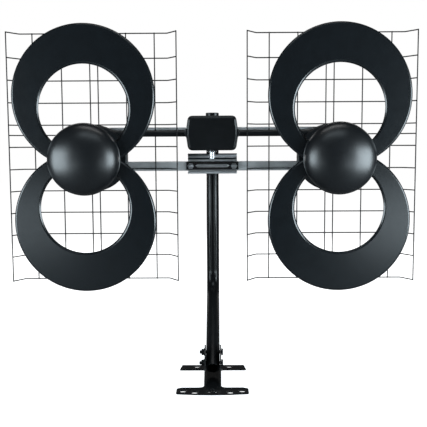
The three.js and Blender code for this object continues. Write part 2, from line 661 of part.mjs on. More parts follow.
// ------------------------------------------------------------------ assembly
const head = new THREE.Group();
head.position.set(0, MAST_Y - MAST_BEHIND, 0);
antenna.add(head);
head.add(panel(-1, "left"), panel(1, "right"));
add(head, "upper_boom", boomTube(UPPER_BOOM_Z, BOOM_SCREW_X, UPPER_BOOM_Z, 2 + DRILL), "boom");
add(head, "lower_boom", boomTube(LOWER_BOOM_Z, CLAMP_BOLT.x, CLAMP_BOLT.z, CLAMP_BOLT.r + DRILL), "boom");
add(head, "housing_front", boxFront(), "plastic");
add(head, "housing_rear", boxRear(), "plastic");
add(head, "combiner_board", combinerBoard(), "board");
add(head, "coax_connector", connector(), "chrome");
const nutTop = [0, CONNECTOR.y, BOX_Z - BOX_HALF_Z - GAP];
const nutBore = CONNECTOR.r + DRILL;
add(head, "connector_nut", nut(12, 2.6, nutBore, nutTop, AXIS_Z.clone().negate()), "chrome");
[["left", -1], ["right", 1]].forEach(([suffix, side]) => {
  const forward = AXIS_Y.clone().negate();
  const shell = [side * BOX_SCREW.x, BOX_BACK + GAP, BOX_Z + BOX_SCREW.z];
  const behind = [side * BOOM_SCREW_X, BOOM_Y + BOOM / 2 + GAP, UPPER_BOOM_Z];
  add(head, `feed_tube_${suffix}`, feedTube(side), "plastic");
  add(head, `housing_screw_${suffix}`, bolt(3, 1.8, 1.5, 31, shell, forward, 6), "bolt");
  add(head, `boom_screw_${suffix}`, bolt(4, 2.2, 2, 21, behind, forward, 6), "bolt");
});
clamp(head);
add(antenna, "mast_tube", mastTube(), "mast");
add(antenna, "mast_cap", mastCap(), "plastic");
add(antenna, "foot_bracket", footBracket(), "mast");
footBolt(antenna, "pivot", pivotPoint);
footBolt(antenna, "lock", lockPoint);

export default antenna;
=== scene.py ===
# Looks of the two-panel loop antenna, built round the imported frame. Metres, +Z up, the loops face -Y.
import math

import bmesh
import bpy
from mathutils import Matrix, Vector, geometry


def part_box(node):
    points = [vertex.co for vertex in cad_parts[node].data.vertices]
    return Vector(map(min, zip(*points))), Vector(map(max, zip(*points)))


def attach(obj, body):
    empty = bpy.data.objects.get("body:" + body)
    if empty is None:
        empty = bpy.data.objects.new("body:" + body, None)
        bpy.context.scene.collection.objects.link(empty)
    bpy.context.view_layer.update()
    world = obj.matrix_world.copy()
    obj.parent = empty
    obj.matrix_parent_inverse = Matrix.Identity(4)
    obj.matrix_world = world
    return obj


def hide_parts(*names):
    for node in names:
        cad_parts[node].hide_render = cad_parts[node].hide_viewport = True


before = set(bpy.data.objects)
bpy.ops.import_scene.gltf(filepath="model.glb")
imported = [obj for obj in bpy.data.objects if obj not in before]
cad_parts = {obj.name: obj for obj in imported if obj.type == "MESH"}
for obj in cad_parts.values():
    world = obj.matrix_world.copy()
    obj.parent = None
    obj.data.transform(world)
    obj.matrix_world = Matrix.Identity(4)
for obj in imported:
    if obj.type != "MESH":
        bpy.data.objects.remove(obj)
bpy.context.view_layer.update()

MM = 0.001
SIDES = {"left": -1, "right": 1}


# ------------------------------ mesh building
# A placing turns a flat outline's u and v, and its depth w, into a point.
def facing_x(u, v, w):
    return (w, u, v)


def facing_y(u, v, w):
    return (u, w, v)


def facing_z(u, v, w):
    return (u, v, w)


def shifted(place, centre):
    """The same placing, about another centre."""
    return lambda u, v, w: tuple(a + b for a, b in zip(place(u, v, w), centre))


def radial(place, degrees):
    """A placing for a flat rib that stands on the axis of the given one, turned about it: v runs along it."""
    cos, sin = math.cos(math.radians(degrees)), math.sin(math.radians(degrees))
    return lambda u, v, w: place(u * cos - w * sin, u * sin + w * cos, v)


class Shape:
    """Vertices and faces that end up as one mesh."""

    def __init__(self):
        self.points = []
        self.faces = []

    def ring(self, points):
        first = len(self.points)
        self.points += points
        return list(range(first, len(self.points)))

    def strip(self, low, high):
        """Joins two closed rings with the same number of points."""
        for i in range(len(low)):
            j = (i + 1) % len(low)
            self.faces.append((low[i], low[j], high[j], high[i]))

    def cap(self, rings, outlines):
        """Fills the area between the rings, whose flat outlines are given too."""
        flat = [[Vector((u, v, 0)) for u, v in outline] for outline in outlines]
        index = [i for ring in rings for i in ring]
        self.faces += [tuple(index[k] for k in triangle) for triangle in geometry.tessellate_polygon(flat)]


def arc(centre, radius, start, end, steps):
    """Points on a circle from one angle to another, in degrees."""
    angles = [math.radians(start + (end - start) * i / steps) for i in range(steps + 1)]
    return [(centre[0] + radius * math.cos(a), centre[1] + radius * math.sin(a)) for a in angles]


def rounded(points, radius, steps=4, closed=True):
    """An outline with its corners rounded. A radius may be given for each point."""
    result = []
    count = len(points)
    radii = radius if isinstance(radius, (list, tuple)) else [radius] * count
    for i, (point, size) in enumerate(zip(points, radii)):
        at = Vector(point)
        if not closed and i in (0, count - 1) or size == 0:
            result.append(tuple(at))
            continue
        before = Vector(points[i - 1]) - at
        after = Vector(points[(i + 1) % count]) - at
        turn = before.angle(after)
        if turn > math.radians(179):
            result.append(tuple(at))
            continue
        reach = min(size / math.tan(turn / 2), before.length * 0.49, after.length * 0.49)
        start = at + before.normalized() * reach
        end = at + after.normalized() * reach
        for k in range(steps + 1):
            t = k / steps
            result.append(tuple(start * (1 - t) ** 2 + at * 2 * t * (1 - t) + end * t**2))
    return result


def rectangle(x0, x1, y0, y1):
    return [(x0, y0), (x1, y0), (x1, y1), (x0, y1)]


def area(outline):
    return sum(a[0] * b[1] - b[0] * a[1] for a, b in zip(outline, outline[1:] + outline[:1])) / 2


def outward(outline):
    """For each point of an outline, the way out of the material, as long as keeps a side's distance even."""
    result = []
    for i, point in enumerate(outline):
        at = Vector(point)
        into = (at - Vector(outline[i - 1])).normalized()
        out = (Vector(outline[(i + 1) % len(outline)]) - at).normalized()
        first = Vector((into.y, -into.x))
        second = Vector((out.y, -out.x))
        result.append((first + second) / max(1 + first.dot(second), 0.2))
    return result


def loft(shape, outlines, profile, place, widths=None):
    """A closed body: the outlines, the first of them the outer one, go through (inset, depth) pairs."""
    turned = [line if (area(line) > 0) == (i == 0) else line[::-1] for i, line in enumerate(outlines)]
    normals = [outward(line) for line in turned]
    levels = []
    for inset, depth in profile:
        flat = []
        for line, ways in zip(turned, normals):
            scale = [widths(point) if widths else 1 for point in line]
            flat.append([
                (point[0] - way.x * inset * size, point[1] - way.y * inset * size)
                for point, way, size in zip(line, ways, scale)
            ])
        levels.append(([shape.ring([place(u, v, depth) for u, v in line]) for line in flat], flat))
    for (low, _), (high, _) in zip(levels, levels[1:]):
        for first, second in zip(low, high):
            shape.strip(first, second)
    shape.cap(*levels[0])
    shape.cap(*levels[-1])


def soft_edges(low, high, radius, steps=3):
    """The profile of a slab with rounded edges, for loft."""
    turns = [math.pi / 2 * i / steps for i in range(steps + 1)]
    front = [(radius * (1 - math.sin(a)), low + radius * (1 - math.cos(a))) for a in turns]
    back = [(inset, low + high - depth) for inset, depth in reversed(front)]
    return front + back


def slab(shape, outlines, low, high, radius, place, steps=3):
    """A flat body with rounded edges."""
    loft(shape, outlines, soft_edges(low, high, radius, steps), place)


def spin(shape, profile, place, segments=64, flats=None, thread=None):
    """Turns a profile of (radius, height) pairs. flats is the width over a hexagon that limits it, and
    thread is (from, to, pitch, depth) of a screw thread cut into it."""
    rings = []
    sixth = math.pi / 3
    for radius, height in profile:
        points = []
        for i in range(segments):
            angle = 2 * math.pi * i / segments
            reach = radius
            if flats:
                reach = min(reach, flats / 2 / math.cos(angle % sixth - sixth / 2))
            if thread and thread[0] <= height <= thread[1] and radius > 0:
                _, _, pitch, depth = thread
                turns = height / pitch + i / segments
                reach -= depth * abs(2 * (turns % 1) - 1)
            points.append(place(reach * math.cos(angle), reach * math.sin(angle), height))
        rings.append(shape.ring(points[:1]) if radius == 0 else shape.ring(points))
    closed = profile[0] == profile[-1]
    if closed:
        rings[-1] = rings[0]
    for low, high in zip(rings, rings[1:]):
        if len(low) == 1 or len(high) == 1:
            tip, rim = (low, high) if len(low) == 1 else (high, low)
            for i in range(segments):
                shape.faces.append((tip[0], rim[i], rim[(i + 1) % segments]))
        else:
            shape.strip(low, high)


def tube_along(shape, path, radius, bore, sides, edge):
    """A round bar, or a tube if it has a bore, along a path of points. Its ends are chamfered by edge."""
    line = [Vector(p) for p in path]
    frames = []
    for i, point in enumerate(line):
        into = (point - line[i - 1]).normalized() if i else (line[1] - point).normalized()
        out = (line[i + 1] - point).normalized() if i + 1 < len(line) else into
        along = (into + out).normalized()
        across = frames[-1][1] if i else along.orthogonal().normalized()
        across = (across - along * across.dot(along)).normalized()
        frames.append((point, across, along.cross(across), along))

    def circle(frame_at, size, shift=0.0):
        point, across, up, along = frame_at
        turns = [2 * math.pi * i / sides for i in range(sides)]
        return shape.ring([
            tuple(point + along * shift + (across * math.cos(a) + up * math.sin(a)) * size) for a in turns
        ])

    outer = [circle(frames[0], radius - edge), circle(frames[0], radius, edge)]
    outer += [circle(f, radius) for f in frames[1:-1]]
    outer += [circle(frames[-1], radius, -edge), circle(frames[-1], radius - edge)]
    for low, high in zip(outer, outer[1:]):
        shape.strip(low, high)
    if not bore:
        shape.faces += [tuple(outer[0][::-1]), tuple(outer[-1])]
        return
    inner = [circle(f, bore) for f in frames]
    for low, high in zip(inner, inner[1:]):
        shape.strip(low, high)
    shape.strip(outer[0], inner[0])
    shape.strip(outer[-1], inner[-1])


def thickened(line, thick):
    """The outline of a strip of sheet along a line of points."""
    points = [Vector(p) for p in line]
    sides = {1: [], -1: []}
    for i, point in enumerate(points):
        into = (point - points[i - 1]).normalized() if i else (points[1] - point).normalized()
        out = (points[i + 1] - point).normalized() if i + 1 < len(points) else into
        along = (into + out).normalized()
        lean = max(along.dot(into), 0.3)
        for sign in sides:
            sides[sign].append(tuple(point + Vector((-along.y, along.x)) * sign * thick / 2 / lean))
    return sides[1] + sides[-1][::-1]


def piece(name, shape, body, look, replaces=()):
    """Makes the mesh, gives it its material and fastens it to a CAD body."""
    mesh = bpy.data.meshes.new(name)
    mesh.from_pydata(shape.points, [], shape.faces)
    work = bmesh.new()
    work.from_mesh(mesh)
    bmesh.ops.remove_doubles(work, verts=work.verts, dist=1e-7)
    bmesh.ops.dissolve_degenerate(work, edges=work.edges, dist=1e-7)
    bmesh.ops.recalc_face_normals(work, faces=work.faces)
    work.to_mesh(mesh)
    work.free()
    mesh.shade_smooth()
    made = bpy.data.objects.new(name, mesh)
    bpy.context.scene.collection.objects.link(made)
    even = made.modifiers.new("even_shading", "WEIGHTED_NORMAL")
    even.keep_sharp = True
    even.weight = 80  # lets the large faces decide, so that flat ones shade flat
    mesh.materials.append(look)
    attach(made, body)
    if replaces:
        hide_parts(*replaces)


# ------------------------------ materials
RUBBED_EDGE = 0.7 * MM


class Nodes:
    """A material's node tree, with short ways to add to it."""

    def __init__(self, name):
        self.material = bpy.data.materials.new(name)
        self.material.use_nodes = True
        self.tree = self.material.node_tree
        self.surface = self.tree.nodes["Principled BSDF"]
        self.place = self.tree.nodes.new("ShaderNodeTexCoord").outputs["Object"]

    def link(self, source, target):
        self.tree.links.new(source, target)

    def noise(self, scale, detail=3.0, stretch=(1, 1, 1), roughness=0.55):
        mapping = self.tree.nodes.new("ShaderNodeMapping")
        mapping.inputs["Scale"].default_value = stretch
        self.link(self.place, mapping.inputs["Vector"])
        node = self.tree.nodes.new("ShaderNodeTexNoise")
        node.inputs["Scale"].default_value = scale
        node.inputs["Detail"].default_value = detail
        node.inputs["Roughness"].default_value = roughness
        self.link(mapping.outputs["Vector"], node.inputs["Vector"])
        return node.outputs["Fac"]

    def between(self, factor, low, high, start=0.3, end=0.7):
        """A number that goes from low to high as the factor goes from start to end."""
        node = self.tree.nodes.new("ShaderNodeMapRange")
        node.inputs["From Min"].default_value = start
        node.inputs["From Max"].default_value = end
        node.inputs["To Min"].default_value = low
        node.inputs["To Max"].default_value = high
        self.link(factor, node.inputs["Value"])
        return node.outputs["Result"]

    def times(self, first, second):
        node = self.tree.nodes.new("ShaderNodeMath")
        node.operation = "MULTIPLY"
        self.link(first, node.inputs[0])
        self.link(second, node.inputs[1])
        return node.outputs["Value"]

    def mix(self, factor, first, second):
        """A colour between two, each a colour or an output."""
        node = self.tree.nodes.new("ShaderNodeMix")
        node.data_type = "RGBA"
        self.link(factor, node.inputs["Factor"])
        for socket, value in ((node.inputs[6], first), (node.inputs[7], second)):
            if isinstance(value, tuple):
                socket.default_value = (*value, 1)
            else:
                self.link(value, socket)
        return node.outputs[2]

    def edges(self, radius):
        """Near 1 on sharp edges and 0 on open faces."""
        bevel = self.tree.nodes.new("ShaderNodeBevel")
        bevel.samples = 4
        bevel.inputs["Radius"].default_value = radius
        plain = self.tree.nodes.new("ShaderNodeNewGeometry")
        dot = self.tree.nodes.new("ShaderNodeVectorMath")
        dot.operation = "DOT_PRODUCT"
        self.link(bevel.outputs["Normal"], dot.inputs[0])
        self.link(plain.outputs["Normal"], dot.inputs[1])
        return self.between(dot.outputs["Value"], 1, 0, 0.8, 0.98)

    def bump(self, height, distance):
        """Fine relief, as deep as the distance."""
        node = self.tree.nodes.new("ShaderNodeBump")
        node.inputs["Distance"].default_value = distance
        self.link(height, node.inputs["Height"])
        self.link(node.outputs["Normal"], self.surface.inputs["Normal"])

    def set(self, **values):
        """Inputs of the surface, each a number, a colour or an output."""
        for key, value in values.items():
            socket = self.surface.inputs[key.replace("_", " ")]
            if isinstance(value, bpy.types.NodeSocket):
                self.link(value, socket)
            elif isinstance(value, tuple):
                socket.default_value = (*value, 1)
            else:
                socket.default_value = value


def painted(name, colour, worn, roughness, grain, depth, wear, specular=0.5, uneven=0.03):
    """Paint, powder coat or plastic: fine relief, uneven gloss and edges rubbed to the worn colour."""
    nodes = Nodes(name)
    cloud = nodes.noise(45, 4)
    patches = nodes.mix(nodes.between(cloud, 0, 1), colour, tuple(c * 1.35 for c in colour))
    scuffs = nodes.between(nodes.noise(260, 5, roughness=0.7), 0, wear, 0.45, 0.7)
    rubbed = nodes.times(nodes.edges(RUBBED_EDGE), scuffs)
    nodes.set(
        Base_Color=nodes.mix(rubbed, patches, worn),
        Roughness=nodes.between(nodes.noise(120, 4), roughness - uneven, roughness + uneven),
        Specular_IOR_Level=specular,
    )
    nodes.bump(nodes.noise(grain, 3), depth)
    return nodes.material


def metal(name, colour, dark, roughness, stretch, grain, depth, stains=0.4):
    """Bare metal: drawn or brushed along one way, with faint stains."""
    nodes = Nodes(name)
    streaks = nodes.noise(grain, 5, stretch, 0.7)
    stain = nodes.between(nodes.noise(38, 5), 0, stains, 0.5, 0.75)
    nodes.set(
        Base_Color=nodes.mix(stain, colour, dark),
        Roughness=nodes.between(streaks, roughness - 0.06, roughness + 0.12),
        Metallic=1.0,
    )
    nodes.bump(streaks, depth)
    return nodes.material


def banded_with_painted_reflections(name, bright, dark):
    """Steel with polished and brushed bands along X, coloured near black and near white as painted
    reflections.
    """
    nodes = Nodes(name)
    polish_and_reflection_bands = nodes.between(nodes.noise(330, 1, (0.01, 0.01, 1)), 0, 1, 0.44, 0.54)
    nodes.set(
        # The base colour follows the bands from near black to near white: painted reflections.
        Base_Color=nodes.mix(polish_and_reflection_bands, dark, bright),
        Roughness=nodes.between(polish_and_reflection_bands, 0.14, 0.52, 0, 1),
        Metallic=1.0,
    )
    nodes.bump(nodes.noise(1800, 5, (0.06, 1, 1), 0.7), 0.006 * MM)
    return nodes.material


def board_look():
    """Green lacquered circuit board with paler tracks."""
    nodes = Nodes("circuit_board")
    tracks = nodes.tree.nodes.new("ShaderNodeTexBrick")
    tracks.inputs["Scale"].default_value = 260
    nodes.link(nodes.place, tracks.inputs["Vector"])
    lines = nodes.between(tracks.outputs["Fac"], 0, 0.7, 0, 1)
    nodes.set(
        Base_Color=nodes.mix(lines, (0.012, 0.085, 0.03), (0.05, 0.2, 0.08)),
        Roughness=nodes.between(nodes.noise(300), 0.3, 0.5),
    )
    nodes.bump(tracks.outputs["Fac"], 0.05 * MM)
    return nodes.material


LOOK = {
    "loop": painted("loop_black", (0.0035, 0.0048, 0.006), (0.16, 0.17, 0.18), 0.22, 1500, 0.008 * MM,
                    wear=0.4, uneven=0.012),
    "dome": painted("dome_black", (0.003, 0.0037, 0.0046), (0.04, 0.045, 0.05), 0.33, 3200, 0.0015 * MM,
                    wear=0.3, uneven=0.015),
    "plastic": painted("moulded_black", (0.0035, 0.0042, 0.005), (0.05, 0.055, 0.06), 0.32, 2600, 0.012 * MM,
                       wear=0.4, specular=0.35),
    "wire": painted("wire_black", (0.008, 0.0075, 0.0075), (0.06, 0.055, 0.05), 0.55, 2200, 0.02 * MM,
                    wear=0.5, specular=0.2),
    "mast": painted("mast_black", (0.004, 0.0045, 0.005), (0.12, 0.12, 0.12), 0.2, 900, 0.002 * MM,
                    wear=0.5, specular=0.22),
    # The clamp plate's dark colour is painted shade: it is the same pressed chrome sheet as its rib.
    "plate": metal("chrome_painted_shade", (0.16, 0.17, 0.18), (0.08, 0.085, 0.09), 0.16, (0.06, 1, 1), 1800,
                   0.006 * MM),
    "boom": metal("boom_aluminium", (0.76, 0.77, 0.78), (0.46, 0.48, 0.5), 0.45, (0.02, 1, 1), 2400,
                  0.01 * MM),
    "chrome": metal("chrome_steel", (0.72, 0.74, 0.76), (0.4, 0.41, 0.42), 0.14, (0.06, 1, 1), 1800,
                    0.006 * MM, stains=0.3),
    # The channel's near-black and near-white bands are painted reflections.
    "channel": banded_with_painted_reflections("chrome_channel", (0.97, 0.98, 1), (0.12, 0.13, 0.14)),
    # The rib's near-white colour is a painted highlight on the clamp plate's own sheet.
    "rib": metal("brushed_rib_painted_highlight", (0.95, 0.96, 0.97), (0.7, 0.7, 0.72), 0.45, (0.1, 1, 1), 1800, 0.008 * MM),
    "zinc": metal("zinc_steel", (0.5, 0.51, 0.53), (0.32, 0.32, 0.3), 0.34, (1, 1, 1), 900, 0.02 * MM,
                  stains=0.6),
    "board": board_look(),
}


# ------------------------------ places, from the frame
def middle(node, axis):
    low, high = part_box(node)
    return (low[axis] + high[axis]) / 2


def sizes(node):
    low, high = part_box(node)
    return high - low


MAST_R = 11.1 * MM
SLIDING_GAP = 0.3 * MM


# ------------------------------ fasteners
HEX_FLATS = 10 * MM
NUT_FLATS = 9.4 * MM
NUT_BORE = 3.1 * MM
SHANK_R = 2.95 * MM
PITCH = 1 * MM


def hex_nut(shape, flats, bore, low, high, place):
    """A hexagonal nut with chamfered corners."""
    corner = flats / math.sqrt(3)
    chamfer = (corner - flats / 2) * 0.54
    rim = flats / 2 * 0.97
    profile = [(bore, low), (rim, low), (corner, low + chamfer), (corner, high - chamfer), (rim, high),
               (bore, high), (bore, low)]
    spin(shape, profile, place, 48, flats)


def hex_bolt(shape, head, length, place):
    """A bolt: its head's underside is at 0, its shank runs down to -length and its head up."""
    corner = HEX_FLATS / math.sqrt(3)
    top = [(0, head), (HEX_FLATS / 2 * 0.95, head), (corner, head * 0.8), (corner, 0.2 * MM),
           (corner * 0.98, 0), (0, 0)]
    spin(shape, top, place, 48, HEX_FLATS)
    steps = int(length / PITCH * 4)
    shank = [(SHANK_R, -length * i / steps) for i in range(steps)] + [(SHANK_R - PITCH / 2, -length)]
    thread = (-length * 0.99, -length * 0.45, PITCH, PITCH * 0.45)
    spin(shape, [(0, 0.1 * MM)] + shank + [(0, -length)], place, 24, None, thread)


def washer(shape, radius, low, high, place):
    edge = (high - low) * 0.3
    profile = [(NUT_BORE, low), (radius - edge, low), (radius, low + edge), (radius, high - edge),
               (radius - edge, high), (NUT_BORE, high), (NUT_BORE, low)]
    spin(shape, profile, place, 40)


def pan_head(shape, radius, height, place, sign):
    """A pan head with a cross recess, from its seat at 0 to its top at -height * sign."""
    crown = [(radius * 0.62, -height * 0.95), (radius * 0.9, -height * 0.75), (radius, -height * 0.35),
             (radius, 0)]
    arm = radius * 0.52
    half = radius * 0.13
    cross = [(arm, -half), (arm, half), (half, half), (half, arm), (-half, arm), (-half, half), (-arm, half),
             (-arm, -half), (-half, -half), (-half, -arm), (half, -arm), (half, -half)]
    rim = arc((0, 0), radius * 0.6, 0, 360 * 31 / 32, 31)
    loft(shape, [rim, cross], [(0, -height * sign), (0, -height * 0.45 * sign)], place)
    floor = (0, -height * 0.44 * sign)
    spin(shape, [floor] + [(r, h * sign) for r, h in crown] + [(0, 0)], place, 32)


# ------------------------------ panels
LOOP_HOLE_R = 70.7 * MM
LOOP_HOLE_DROP = 20.2 * MM  # how much nearer to the panel's centre the hole's centre is than the disc's
FEED_HALF = 16 * MM  # half the opening between a loop's two ends, where the hub feeds it
# The rims of a loop, in mm, as how far they stand back from its edge and how deep they lie.
LOOP_FRONT = [(3.1, 0), (2.9, 0.05), (2.7, 0.15), (1.8, 0.66), (1.5, 0.88), (0.9, 1.6), (0.3, 2.3), (0, 2.8)]
LOOP_BACK = [(0, 3.1), (0.3, 3.7), (0.9, 4)]


def loops(side):
    """The two tapered loops, with rounded rims."""
    centre_x = middle(f"hub_plate_{side}", 0)
    centre_z = middle(f"hub_plate_{side}", 2)
    for where, sign in (("upper", 1), ("lower", -1)):
        node = f"loop_{where}_{side}"
        low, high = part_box(node)
        radius = (high.x - low.x) / 2
        tip, cut = (high.z, low.z) if sign > 0 else (low.z, high.z)
        disc_z = sign * (tip - centre_z) - radius
        hole_z = disc_z - LOOP_HOLE_DROP
        start = math.degrees(math.asin((abs(cut - centre_z) - disc_z) / radius))
        feed = math.degrees(math.acos(FEED_HALF / LOOP_HOLE_R))
        outer = arc((0, disc_z), radius, start, 180 - start, 128)
        inner = arc((0, hole_z), LOOP_HOLE_R, 180 + feed, -feed, 112)
        outline = [(u, v * sign) for u, v in outer + inner]

        def rim(point):
            """The hole's rim is wider than the outer one, except by the hub."""
            inside = math.hypot(point[0], abs(point[1]) - hole_z) < LOOP_HOLE_R + 1 * MM
            return 1.2 if inside and abs(point[1]) > 30 * MM else 1.0

        shape = Shape()
        bevel = [(inset * MM, low.y + depth * MM) for inset, depth in LOOP_FRONT + LOOP_BACK]
        loft(shape, [outline], bevel, shifted(facing_y, (centre_x, 0, centre_z)), rim)
        piece(f"{node}_plate", shape, "head", LOOK["loop"], [node])


def dome(side):
    """The dome: a thin rim, a straight skirt and a crowned cap, hollow behind."""
    node = f"dome_cover_{side}"
    low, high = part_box(node)
    radius = (high.x - low.x) / 2
    skirt = 8 * MM
    crown = high.y - low.y - skirt
    lip = 1.6 * MM
    wall = 2.4 * MM

    def cap(size, height, steps):
        turns = [math.pi / 2 * i / steps for i in range(steps)]
        return [(size * math.cos(a), skirt + height * math.sin(a)) for a in turns] + [(0, skirt + height)]

    outer = [(radius - 0.4 * MM, 0), (radius, 0.4 * MM), (radius, lip - 0.4 * MM), (radius - 0.3 * MM, lip),
             (radius - 0.8 * MM, lip + 0.1 * MM), (radius - 0.9 * MM, lip + 0.5 * MM)]
    outer += cap(radius - 1 * MM, crown, 40)
    inner = [(radius - wall - 0.6 * MM, 0)] + cap(radius - wall - 1 * MM, crown - wall, 28)
    profile = inner[::-1] + outer
    shape = Shape()
    centre = (middle(node, 0), high.y, middle(node, 2))
    spin(shape, [(r, -h) for r, h in profile], shifted(facing_y, centre), 128)
    piece(f"{node}_shell", shape, "head", LOOK["dome"], [node])


CUP_RIBS = 8
COLLAR_WALL = 2.4 * MM


def cup(side):
    """The cup behind the loops, with ribs between its back and its collar."""
    node = f"rear_cup_{side}"
    low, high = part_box(node)
    radius = (high.x - low.x) / 2
    bore = sizes(f"standoff_tube_{side}").x / 2 + SLIDING_GAP
    front, back = low.y, high.y
    collar = bore + COLLAR_WALL
    cone_end = back - 9.5 * MM
    mouth = 36 * MM
    line = [(mouth, front), (radius, front), (radius, front + 3 * MM), (radius - 9 * MM, front + 5.7 * MM),
            (collar, cone_end), (collar, back), (bore, back), (bore, cone_end - 2 * MM),
            (mouth, front + 6.1 * MM)]
    line = rounded(line, [r * MM for r in (0.5, 0.8, 1.2, 2, 3, 0.7, 0.4, 2, 2)], 3)
    shape = Shape()
    place = shifted(facing_y, (middle(node, 0), 0, middle(node, 2)))
    spin(shape, line + line[:1], place, 96)
    rib = [(collar - 0.5 * MM, cone_end - 0.5 * MM), (radius - 11 * MM, front + 5.8 * MM),
           (collar - 0.5 * MM, back - 2.5 * MM)]
    for k in range(CUP_RIBS):
        turned = radial(place, (k + 0.5) * 360 / CUP_RIBS)
        slab(shape, [rounded(rib, 0.6 * MM, 2)], -0.9 * MM, 0.9 * MM, 0.4 * MM, turned, 2)
    piece(f"{node}_shell", shape, "head", LOOK["plastic"], [node])


def standoff(side):
    """The tube between the cup and the hub."""
    node = f"standoff_tube_{side}"
    low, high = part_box(node)
    radius = (high.x - low.x) / 2
    bore = radius - 3 * MM
    line = rounded([(bore, low.y), (radius, low.y), (radius, high.y), (bore, high.y)], 0.6 * MM, 2)
    shape = Shape()
    spin(shape, line + line[:1], shifted(facing_y, (middle(node, 0), 0, middle(node, 2))), 64)
    piece(f"{node}_barrel", shape, "head", LOOK["plastic"], [node])


HUB_RIB_PLACES = 12


def hub(side):
    """The round plate at the reflector, with its collar in front and ribs behind."""
    node = f"hub_plate_{side}"
    low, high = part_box(node)
    radius = (high.x - low.x) / 2
    bore = sizes(f"standoff_tube_{side}").x / 2 + SLIDING_GAP
    collar = bore + COLLAR_WALL
    front, back = low.y + 9.5 * MM, high.y
    wall = 2.5 * MM
    middle_hole = 13 * MM
    line = [(middle_hole, front), (bore, front), (bore, low.y), (collar, low.y), (collar, front),
            (radius - 2 * MM, front), (radius, front + 2.4 * MM), (radius, back), (radius - wall, back),
            (radius - wall, front + wall), (middle_hole, front + wall)]
    line = rounded(line, [r * MM for r in (0.2, 0.2, 0.5, 0.7, 1.5, 1.6, 1.2, 0.5, 0.5, 1, 0.4)], 3)
    shape = Shape()
    place = shifted(facing_y, (middle(node, 0), 0, middle(node, 2)))
    spin(shape, line + line[:1], place, 112)
    rib = rectangle(16 * MM, radius - wall + 0.3 * MM, front + wall - 0.3 * MM, back - 5 * MM)
    for k in range(HUB_RIB_PLACES):
        if k % 3:
            turned = radial(place, (k + 0.5) * 360 / HUB_RIB_PLACES)
            slab(shape, [rib], -0.8 * MM, 0.8 * MM, 0.3 * MM, turned, 2)
    piece(f"{node}_disc", shape, "head", LOOK["plastic"], [node])


WIRE_R = 1 * MM
WIRE_LAYERS = 1.45 * WIRE_R  # between the axes of crossing wires, which are welded into each other
# Places of the wires in mm from the middle of a reflector, on both sides of it.
WIRES_X = [6.8, 55.3, 103.9]
WIRES_Z = [19, 56.6, 94, 131.6, 169, 210.9]
EXTRA_WIRE_Z = 39.2 * MM  # one more level wire, above the hub, over half of the width
EDGE_BEND_X = 126 * MM
EDGE_BEND_R = 5 * MM


def reflector(side, inward):
    """Round wires: uprights in front, level wires behind them, edges bent forward, spots of weld."""
    node = f"mesh_screen_{side}"
    low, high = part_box(node)
    centre_x = (low.x + high.x) / 2
    centre_z = (low.z + high.z) / 2
    half = (high.x - low.x) / 2 - WIRE_R
    tall = (high.z - low.z) / 2 - WIRE_R
    back = high.y - WIRE_R
    front = back - WIRE_LAYERS
    edge_y = low.y + WIRE_R
    uprights = [sign * x * MM for x in WIRES_X for sign in (-1, 1)]
    heights = [sign * min(z * MM, tall) for z in WIRES_Z for sign in (-1, 1)]
    level = [(-half, edge_y), (-EDGE_BEND_X, back), (EDGE_BEND_X, back), (half, edge_y)]
    level = rounded(level, EDGE_BEND_R, 6, False)
    shape = Shape()

    def wire(points):
        tube_along(shape, points, WIRE_R, 0, 10, 0.2 * MM)

    def weld(x, y, z):
        """A ball of weld, no larger than the reflector's box allows."""
        size = min(1.2 * WIRE_R, x - low.x, high.x - x, z - low.z, high.z - z)
        turns = [math.pi * i / 6 for i in range(1, 6)]
        ball = [(0, -size)] + [(size * math.sin(a), -size * math.cos(a)) for a in turns] + [(0, size)]
        spin(shape, ball, shifted(facing_z, (x, y, z)), 10)

    for x, y in [(x, front) for x in uprights] + [(-half, edge_y), (half, edge_y)]:
        wire([(centre_x + x, y, z) for z in (low.z, centre_z, high.z)])
    for z in heights:
        wire([(centre_x + u, v, centre_z + z) for u, v in level])
        for x in uprights:
            weld(centre_x + x, (front + back) / 2, centre_z + z)
        for x in (-half, half):
            weld(centre_x + x, edge_y, centre_z + z)
    end = inward * WIRES_X[-1] * MM
    short = [(u, v) for u, v in level if inward * u < inward * end]
    short = short + [(end, back)] if inward > 0 else [(end, back)] + short
    wire([(centre_x + u, v, centre_z + EXTRA_WIRE_Z) for u, v in short])
    for x in uprights:
        weld(centre_x + x, (front + back) / 2, centre_z + EXTRA_WIRE_Z)
    piece(f"{node}_wires", shape, "head", LOOK["wire"], [node])


# ------------------------------ booms and feed
def boom(node):
    """A square aluminium tube with rounded corners and a groove along its front and its back."""
    low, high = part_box(node)
    half = (high.y - low.y) / 2
    deep = 0.9 * MM
    top, bottom = -1.4 * MM, -3.4 * MM
    floor = -half + deep
    groove = [(-half, top), (floor, top - 0.4 * MM), (floor, bottom + 0.6 * MM), (-half, bottom)]
    other = [(-u, v) for u, v in reversed(groove)]
    outline = [(-half, half), *groove, (-half, -half), (half, -half), *other, (half, half)]
    side_radii = [1.6, 0.3, 0.3, 0.3, 0.3, 1.6]
    outer = rounded(outline, [r * MM for r in side_radii * 2], 3)
    inside = half - 1.4 * MM
    inner = rounded(rectangle(-inside, inside, -inside, inside), 0.8 * MM, 3)
    shape = Shape()
    place = shifted(facing_x, (0, middle(node, 1), middle(node, 2)))
    slab(shape, [outer, inner], low.x, high.x, 0.3 * MM, place, 2)
    piece(f"{node}_tube", shape, "head", LOOK["boom"], [node])


